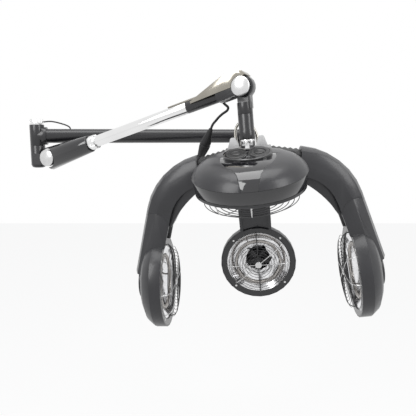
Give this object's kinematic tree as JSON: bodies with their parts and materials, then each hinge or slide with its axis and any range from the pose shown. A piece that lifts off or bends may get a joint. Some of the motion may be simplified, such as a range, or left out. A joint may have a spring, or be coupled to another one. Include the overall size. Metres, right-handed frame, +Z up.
{
  "type": "hood dryer",
  "caption": "Wall-held hood dryer: swivel arm and sprung arm carry a tilting dome and three round fan heaters on swinging arms.",
  "frame": {"origin": "middle of the wall bracket's back face, which lies on the wall", "axes": "+Y into the wall, +Z up, +X to the right as a person facing the wall sees it"},
  "size_m": [0.9393, 0.5879, 0.6524],
  "materials": {
    "bail_wire": "gloss",
    "black_gloss": "gloss",
    "black_paint": "satin",
    "cap_black": "satin",
    "chrome": "polished",
    "fan": "satin",
    "guard_wire": "satin",
    "heater": "polished sheath",
    "light_grey": "satin metallic paint",
    "mirror": "polished",
    "motor": "satin",
    "rubber": "matte",
    "satin_black": "satin",
    "satin_silver": "satin",
    "steel": "satin",
    "warm_grey": "gloss metallic paint"
  },
  "bodies": {
    "wall": {"wall_bracket": "black_paint"},
    "wall_arm": {"wall_arm_tube": "black_paint", "elbow_cable": "rubber"},
    "elbow": {"elbow_knuckle": "black_paint", "elbow_ring_nut": "chrome", "elbow_pivot_bolt": "satin_silver"},
    "spring_arm": {"arm_spar": "black_paint", "arm_sleeve": "black_gloss", "arm_ring_nut": "chrome", "arm_chrome_tube": "chrome", "balance_spring": "steel", "arm_fairing": "warm_grey", "cable_grommet": "satin_silver", "stem_pivot_bolt": "satin_silver"},
    "stem": {"stem_head": "black_paint", "stem_tube": "black_paint", "stem_ring_nut": "chrome", "hood_cable": "rubber", "cable_connector": "rubber", "hood_cable_tail": "rubber"},
    "swivel": {"swivel_block": "black_paint", "swivel_bail": "bail_wire"},
    "hood": {"hood_saddle": "light_grey", "arch_frame": "black_paint", "turret_housing": "black_gloss", "left_vent_cap": "cap_black", "right_vent_cap": "cap_black", "left_bellows": "rubber", "right_bellows": "rubber", "dome_shell": "satin_black", "dome_panel": "black_gloss", "dome_band": "black_gloss", "dome_guard": "guard_wire", "dome_reflector": "mirror", "dome_heater": "heater", "dome_fan_motor": "motor", "rear_arm_shell": "satin_black"},
    "left_arm": {"left_arm_shell": "satin_black", "left_arm_cover": "satin_black"},
    "right_arm": {"right_arm_shell": "satin_black", "right_arm_cover": "satin_black"},
    "left_head": {"left_head_housing": "satin_black", "left_head_guard": "guard_wire", "left_head_reflector": "mirror", "left_head_heater": "heater", "left_head_fan_motor": "motor"},
    "left_rotor": {"left_head_fan_rotor": "fan"},
    "right_head": {"right_head_housing": "satin_black", "right_head_guard": "guard_wire", "right_head_reflector": "mirror", "right_head_heater": "heater", "right_head_fan_motor": "motor"},
    "right_rotor": {"right_head_fan_rotor": "fan"},
    "rear_head": {"rear_head_housing": "satin_black", "rear_head_guard": "guard_wire", "rear_head_reflector": "mirror", "rear_head_heater": "heater", "rear_head_fan_motor": "motor"},
    "rear_rotor": {"rear_head_fan_rotor": "fan"},
    "dome_rotor": {"dome_fan_rotor": "fan"}
  },
  "joints": [
    {"name": "wall_swivel", "type": "hinge", "parent": "wall", "child": "wall_arm", "pos_m": [0, -0.062, 0.07], "axis": [0, 0, 1], "range_deg": [-5, 90]},
    {"name": "elbow_swivel", "type": "hinge", "parent": "wall_arm", "child": "elbow", "pos_m": [-0.60158, -0.14291, 0.07], "axis": [0, 0, -1], "range_deg": [-6, 160]},
    {"name": "arm_lift", "type": "hinge", "parent": "elbow", "child": "spring_arm", "pos_m": [-0.5543, -0.16201, 0.0095], "axis": [-0.3746, -0.9272, 0], "range_deg": [-30, 15]},
    {"name": "stem_pivot", "type": "hinge", "parent": "spring_arm", "child": "stem", "pos_m": [-0.03293, -0.37266, 0.18141], "axis": [0.3746, 0.9272, 0], "range_deg": [-15, 15], "deforming": ["hood_cable"]},
    {"name": "hood_swivel", "type": "hinge", "parent": "stem", "child": "swivel", "pos_m": [-0.01985, -0.37795, 0.03208], "axis": [-0.0873, 0.0353, 0.9956], "range_deg": [-45, 45], "deforming": ["hood_cable", "cable_connector", "hood_cable_tail"]},
    {"name": "hood_tilt", "type": "hinge", "parent": "swivel", "child": "hood", "pos_m": [-0.01985, -0.37795, 0.03208], "axis": [0.991, -0.0986, 0.0903], "range_deg": [-15, 12], "deforming": ["hood_cable", "cable_connector", "hood_cable_tail"]},
    {"name": "left_arm_swing", "type": "hinge", "parent": "hood", "child": "left_arm", "pos_m": [-0.10536, -0.3519, 0.00234], "axis": [0.0917, 0.9927, 0.0779], "range_deg": [-3, 20], "deforming": ["left_bellows"]},
    {"name": "right_arm_swing", "type": "hinge", "parent": "hood", "child": "right_arm", "pos_m": [0.07302, -0.36965, 0.0186], "axis": [-0.0917, -0.9927, -0.0779], "range_deg": [-3, 20], "deforming": ["right_bellows"]},
    {"name": "left_head_tilt", "type": "hinge", "parent": "left_arm", "child": "left_head", "pos_m": [-0.24067, -0.32768, -0.14724], "axis": [0.0917, 0.9927, 0.0779], "range_deg": [-3.5, 6]},
    {"name": "left_fan_spin", "type": "hinge", "parent": "left_head", "child": "left_rotor", "pos_m": [-0.21746, -0.31765, -0.3024], "axis": [-0.9948, 0.0949, -0.0383], "continuous": true},
    {"name": "right_head_tilt", "type": "hinge", "parent": "right_arm", "child": "right_head", "pos_m": [0.23502, -0.375, -0.10387], "axis": [-0.0917, -0.9927, -0.0779], "range_deg": [-3.5, 6]},
    {"name": "right_fan_spin", "type": "hinge", "parent": "right_head", "child": "right_rotor", "pos_m": [0.24238, -0.3634, -0.26047], "axis": [0.9846, -0.1021, 0.1422], "continuous": true},
    {"name": "rear_head_tilt", "type": "hinge", "parent": "hood", "child": "rear_head", "pos_m": [0.02607, -0.0926, -0.16016], "axis": [0.991, -0.0986, 0.0903], "range_deg": [-6, 6]},
    {"name": "rear_fan_spin", "type": "hinge", "parent": "rear_head", "child": "rear_rotor", "pos_m": [0.04062, -0.08972, -0.31666], "axis": [0.0864, 0.9878, 0.1297], "continuous": true},
    {"name": "dome_fan_spin", "type": "hinge", "parent": "hood", "child": "dome_rotor", "pos_m": [-0.02453, -0.46319, -0.00955], "axis": [-0.1112, -0.2318, 0.9664], "continuous": true}
  ]
}
